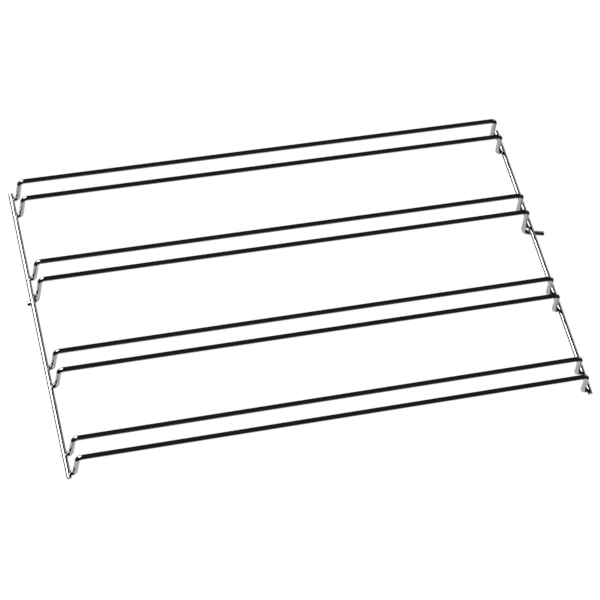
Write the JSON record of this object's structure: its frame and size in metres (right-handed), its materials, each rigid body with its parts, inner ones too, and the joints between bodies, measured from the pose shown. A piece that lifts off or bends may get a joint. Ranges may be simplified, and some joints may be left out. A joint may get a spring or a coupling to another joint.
{
  "type": "oven shelf runner",
  "caption": "Chrome-plated wire side rack for a built-in oven: bent runner wires in pairs on two uprights, with hooks for the cavity wall",
  "frame": {"origin": "middle of the whole rack, hooks included", "axes": "+X along the runners towards the long hook, +Y along the uprights towards the top of the rack, +Z out of the oven wall"},
  "size_m": [0.3978, 0.239, 0.0376],
  "materials": {
    "chrome_wire": "bright chrome plate on round steel wire"
  },
  "bodies": {
    "root": {"upright_left": "chrome_wire", "upright_right": "chrome_wire", "runner_1": "chrome_wire", "runner_2": "chrome_wire", "runner_3": "chrome_wire", "runner_4": "chrome_wire", "runner_5": "chrome_wire", "runner_6": "chrome_wire", "runner_7": "chrome_wire", "runner_8": "chrome_wire"}
  },
  "joints": []
}
